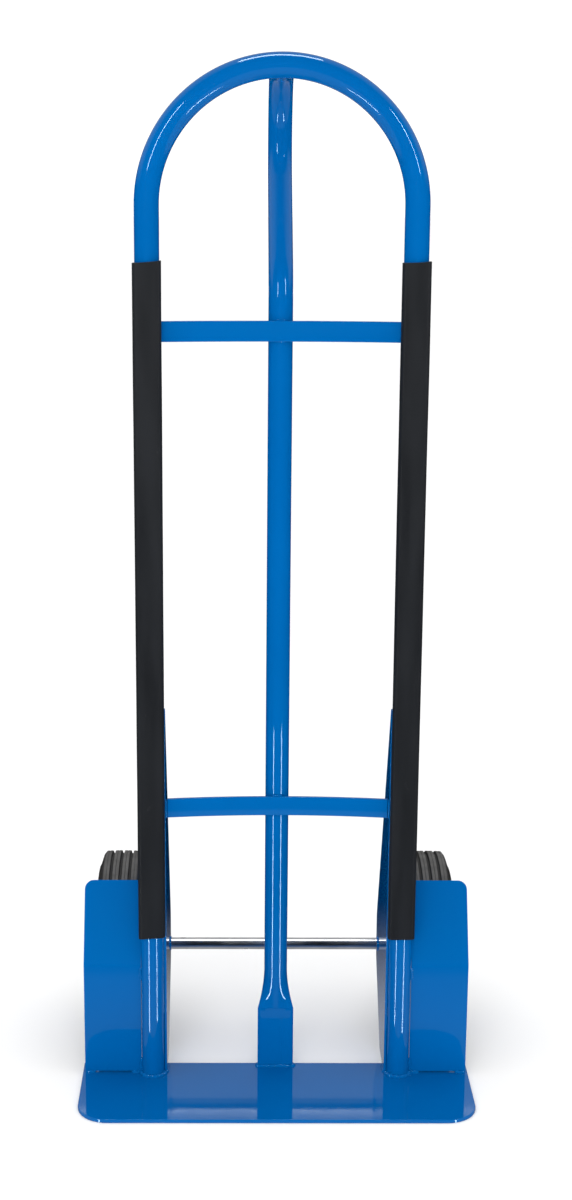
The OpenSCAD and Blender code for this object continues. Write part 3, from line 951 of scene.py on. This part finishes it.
def horizontal_ring(centre, radius):
    """Points around a level circle."""
    angles = spaced(0, 2 * math.pi, 48)[:-1]
    return [centre + Vector((radius * math.cos(a), radius * math.sin(a), 0)) for a in angles]


def build_foot_welds():
    """Beads round the rails' feet and round the spine's flat foot."""
    beads = []
    for side in (LEFT, RIGHT):
        centre = Vector((side * rail_x, rail_y, plate_top + 0.0003))
        beads.append(bead(horizontal_ring(centre, tube_r + 0.0010), 0.0036, seed=1 + side, closed=True))
    weld_piece("rail_foot_welds", beads)
    w, t = foot_w / 2 + 0.0004, foot_t / 2 + 0.0004
    outline = rounded([(-w, -t), (w, -t), (w, t), (-w, t)], [0.002] * 4, steps=4)
    path = [Vector((a, spine_front + foot_t / 2 + b, plate_top + 0.0002)) for a, b in outline]
    weld_piece("spine_foot_weld", [bead(path, 0.0030, seed=9, closed=True)])


def build_guard_welds(side):
    """Beads at a guard's feet and the tacks that hold it to its rail."""
    name = SIDE_NAMES[side] + "_wheel_guard"
    low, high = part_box(name)
    outer_x = max(abs(low.x), abs(high.x))
    inner_x = rail_x + tube_r + 0.001
    beads = []
    inner_foot = (inner_x - 0.001, inner_x + guard_foot + 0.001)
    outer_foot = (outer_x - guard_foot - 0.002, outer_x - 0.0005)
    for k, (x0, x1) in enumerate((inner_foot, outer_foot)):
        for j, y in enumerate((low.y - 0.0003, low.y + 0.0038)):
            line = [Vector((side * x0, y, plate_top + 0.0004)), Vector((side * x1, y, plate_top + 0.0004))]
            beads.append(bead(line, 0.0028, seed=20 + side * 5 + k * 2 + j))
    seam_x = inner_x - 0.0004
    for k, (z0, z1) in enumerate(((plate_top + 0.001, 0.026), (0.136, 0.154))):
        line = [Vector((side * seam_x, low.y + 0.0006, z0)), Vector((side * seam_x, low.y + 0.0006, z1))]
        beads.append(bead(line, 0.0027, seed=30 + side * 5 + k))
    weld_piece(SIDE_NAMES[side] + "_guard_welds", beads)


def build_bracket_welds(side):
    """Stitches between bracket, rail and toe plate, and a bead round the axle."""
    low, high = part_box(SIDE_NAMES[side] + "_axle_bracket")
    inner_x, outer_x = sorted((abs(low.x), abs(high.x)))
    beads = []
    stitches = ((0.022, 0.060), (0.205, 0.245), (0.330, 0.352), (0.455, 0.492))
    for k, (z0, z1) in enumerate(stitches):
        x, y = side * (outer_x + 0.0004), rail_y + 0.0062
        beads.append(bead([Vector((x, y, z0)), Vector((x, y, z1))], 0.0021, seed=50 + side * 9 + k))
    for k, x in enumerate((inner_x - 0.0003, outer_x + 0.0003)):
        line = [Vector((side * x, rail_y + y, plate_top + 0.0004)) for y in (-0.002, 0.018)]
        beads.append(bead(line, 0.0022, seed=70 + side * 9 + k))
    ring_r = axle_r + 0.0004
    ring = [
        Vector((side * (inner_x - 0.0001), axle_y + ring_r * math.cos(a), axle_z + ring_r * math.sin(a)))
        for a in spaced(0, 2 * math.pi, 40)[:-1]
    ]
    beads.append(bead(ring, 0.0016, seed=90 + side, closed=True))
    weld_piece(SIDE_NAMES[side] + "_bracket_welds", beads)


def build_strap_welds():
    """Short beads where the straps meet the rails, the brackets and the spine."""
    beads = []
    for k, name in enumerate(("upper_cross_strap", "lower_cross_strap")):
        low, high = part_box(name)
        on_bracket = high.x < rail_x - tube_r
        for side in (LEFT, RIGHT):
            for j, y in enumerate((rail_y - 0.0026, rail_y + 0.0036)):
                x = high.x if on_bracket else rail_x - math.sqrt(tube_r ** 2 - (y - rail_y) ** 2)
                line = [Vector((side * (x - 0.0002), y, z)) for z in (low.z + 0.001, high.z - 0.001)]
                beads.append(bead(line, 0.0017, seed=100 + k * 9 + side * 3 + j))
        for j, z in enumerate((low.z, high.z)):
            line = [Vector((x, spine_front - 0.0004, z)) for x in (-0.0065, 0, 0.0065)]
            beads.append(bead(line, 0.0016, seed=120 + k * 3 + j))
    weld_piece("strap_welds", beads)


def build_handle_weld():
    """Beads at both sides of the handle's end, where it is coped round the back of the hoop."""
    beads = []
    for side in (LEFT, RIGHT):
        path = []
        for a in spaced(-1.05, 1.05, 24):
            x, z = tube_r * math.cos(a), hoop_top_z + tube_r * math.sin(a)
            off = math.hypot(x, z - hoop_z) - rail_x
            y = rail_y + math.sqrt(max(tube_r ** 2 - off ** 2, 0))
            path.append(Vector((side * (x + 0.0004), y + 0.0004, z)))
        beads.append(bead(path, 0.0022, seed=140 + side))
    weld_piece("handle_weld", beads)


# ---------------------------------------------------------------------------
# CAD nodes that stay
# ---------------------------------------------------------------------------

def finish_cad_nodes():
    """Better materials for the CAD nodes that are shown as they are."""
    kept = {"axle": PLATE}
    for side in SIDE_NAMES.values():
        kept[side + "_bearing_spacer"] = STEEL
        for part in ("_inner_rings", "_outer_rings", "_bearing_shields", "_bearing_balls", "_ball_cages"):
            kept[side + part] = STEEL
    for name, material in kept.items():
        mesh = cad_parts[name].data
        mesh.materials.clear()
        mesh.materials.append(material)


# ---------------------------------------------------------------------------
# Camera, floor and light
# ---------------------------------------------------------------------------

def make_camera():
    """The camera stands in front of the truck, slightly to its left, and looks a little down."""
    yaw, pitch, roll = math.radians(0.311), math.radians(13.527), math.radians(0.211)
    data = bpy.data.cameras.new("camera")
    data.lens = 56.96
    data.shift_x = 0.0333
    camera = bpy.data.objects.new("camera", data)
    turn = Euler((math.pi / 2 - pitch, 0, -yaw)).to_matrix().to_4x4() @ Matrix.Rotation(roll, 4, "Z")
    camera.matrix_world = Matrix.Translation((-0.0535, -2.3641, 1.1989)) @ turn
    bpy.context.scene.collection.objects.link(camera)
    bpy.context.scene.camera = camera


def make_floor():
    """A plain pale floor that reaches past the view."""
    half = 30
    corners = [(-half, -half, 0), (half, -half, 0), (half, half, 0), (-half, half, 0)]
    mesh = bpy.data.meshes.new("floor")
    mesh.from_pydata(corners, [], [(0, 1, 2, 3)])
    surface = Surface("pale_floor", Roughness=0.8)
    surface.shader.inputs["Specular IOR Level"].default_value = 0.1
    surface.colour(surface.ramp(surface.noise(3), (0.3, (0.91, 0.91, 0.91)), (0.7, (0.93, 0.93, 0.93))))
    mesh.materials.append(surface.material)
    floor = bpy.data.objects.new("floor", mesh)
    bpy.context.scene.collection.objects.link(floor)
    floor.visible_glossy = False


def range_node(tree, source, from_low, from_high, to_low, to_high):
    """A smooth step from to_low to to_high as source goes from from_low to from_high."""
    node = tree.nodes.new("ShaderNodeMapRange")
    node.interpolation_type = "SMOOTHSTEP"
    for socket, value in zip(RANGE_SOCKETS, (from_low, from_high, to_low, to_high)):
        node.inputs[socket].default_value = value
    tree.links.new(source, node.inputs["Value"])
    return node.outputs["Result"]


def math_node(tree, operation, first, second):
    node = tree.nodes.new("ShaderNodeMath")
    node.operation = operation
    tree.links.new(first, node.inputs[0])
    tree.links.new(second, node.inputs[1])
    return node.outputs["Value"]


def make_world():
    """White light all round. Reflections see a dim studio, pale high behind and near the floor."""
    world = bpy.data.worlds.new("studio")
    bpy.context.scene.world = world
    world.use_nodes = True
    tree = world.node_tree
    tree.nodes.clear()
    direction = tree.nodes.new("ShaderNodeTexCoord").outputs["Generated"]
    split = tree.nodes.new("ShaderNodeSeparateXYZ")
    tree.links.new(direction, split.inputs["Vector"])
    across, up = split.outputs["Y"], split.outputs["Z"]
    high_behind = math_node(
        tree, "MULTIPLY",
        range_node(tree, across, -0.35, 0.10, 0.0, 0.55),
        range_node(tree, up, 0.05, 0.30, 0.0, 1.0),
    )
    low = range_node(tree, up, -0.38, -0.45, 0.0, 0.40)
    brightness = math_node(tree, "ADD", high_behind, low)
    studio = tree.nodes.new("ShaderNodeBackground")
    tree.links.new(brightness, studio.inputs["Color"])
    white = tree.nodes.new("ShaderNodeBackground")
    white.inputs["Color"].default_value = (1, 1, 1, 1)
    white.inputs["Strength"].default_value = 1.16
    path = tree.nodes.new("ShaderNodeLightPath")
    choose = tree.nodes.new("ShaderNodeMixShader")
    tree.links.new(path.outputs["Is Glossy Ray"], choose.inputs["Fac"])
    tree.links.new(white.outputs["Background"], choose.inputs[1])
    tree.links.new(studio.outputs["Background"], choose.inputs[2])
    output = tree.nodes.new("ShaderNodeOutputWorld")
    tree.links.new(choose.outputs["Shader"], output.inputs["Surface"])


def area_light(name, place, target, width, height, radiance, shines=False):
    """A rectangle of light that the camera doesn't see. It shines on surfaces, or only shows in gloss."""
    data = bpy.data.lights.new(name, "AREA")
    data.shape = "RECTANGLE"
    data.size = width
    data.size_y = height
    data.energy = radiance * math.pi * width * height
    light = bpy.data.objects.new(name, data)
    light.location = place
    light.rotation_euler = (Vector(target) - Vector(place)).to_track_quat("-Z", "Y").to_euler()
    light.visible_camera = False
    light.visible_glossy = not shines
    light.visible_diffuse = shines
    bpy.context.scene.collection.objects.link(light)


def upright_strip(name, azimuth, distance, low_z, high_z, width, radiance):
    """A strip that stands at an azimuth from the truck's front and shows as a thin line on the tubes."""
    a = math.radians(azimuth)
    middle = (low_z + high_z) / 2
    place = (distance * math.sin(a), spine_y - distance * math.cos(a), middle)
    area_light(name, place, (0, spine_y, middle), width, high_z - low_z, radiance)


def make_lights():
    """The lights, most of which only show in glossy surfaces."""
    area_light("front_softbox", (-0.3, -3.0, 1.2), (0, 0, 0.2), 2.0, 1.6, 4.2, shines=True)
    upright_strip("left_low_strip", -37, 2.0, -1.2, -0.15, 0.17, 30)
    upright_strip("right_low_strip", 41, 2.0, -1.2, -0.15, 0.17, 30)
    upright_strip("left_high_strip", -30, 2.2, 1.36, 2.2, 0.16, 26)
    upright_strip("right_high_strip", 46, 2.2, 1.42, 2.4, 0.16, 26)
    area_light("overhead_strip", (0, 0.04, 3.0), (0, 0.04, 0), 1.15, 0.42, 15)
    area_light("rear_thin_strip", (0, 1.5, 0.918), (0, 0, 0.1), 2.4, 0.005, 4)


make_camera()
make_floor()
make_world()
make_lights()
bpy.context.scene.view_settings.view_transform = "Standard"

build_hoop()
build_spine()
for strap_name in ("upper_cross_strap", "lower_cross_strap"):
    build_strap(strap_name)
build_toe_plate()
for each_side in (LEFT, RIGHT):
    build_bracket(each_side)
    build_guard(each_side)
    build_bumper(each_side)
    build_wheel(each_side)
    build_axle_fittings(each_side)
    build_guard_welds(each_side)
    build_bracket_welds(each_side)
build_foot_welds()
build_strap_welds()
build_handle_weld()
finish_cad_nodes()
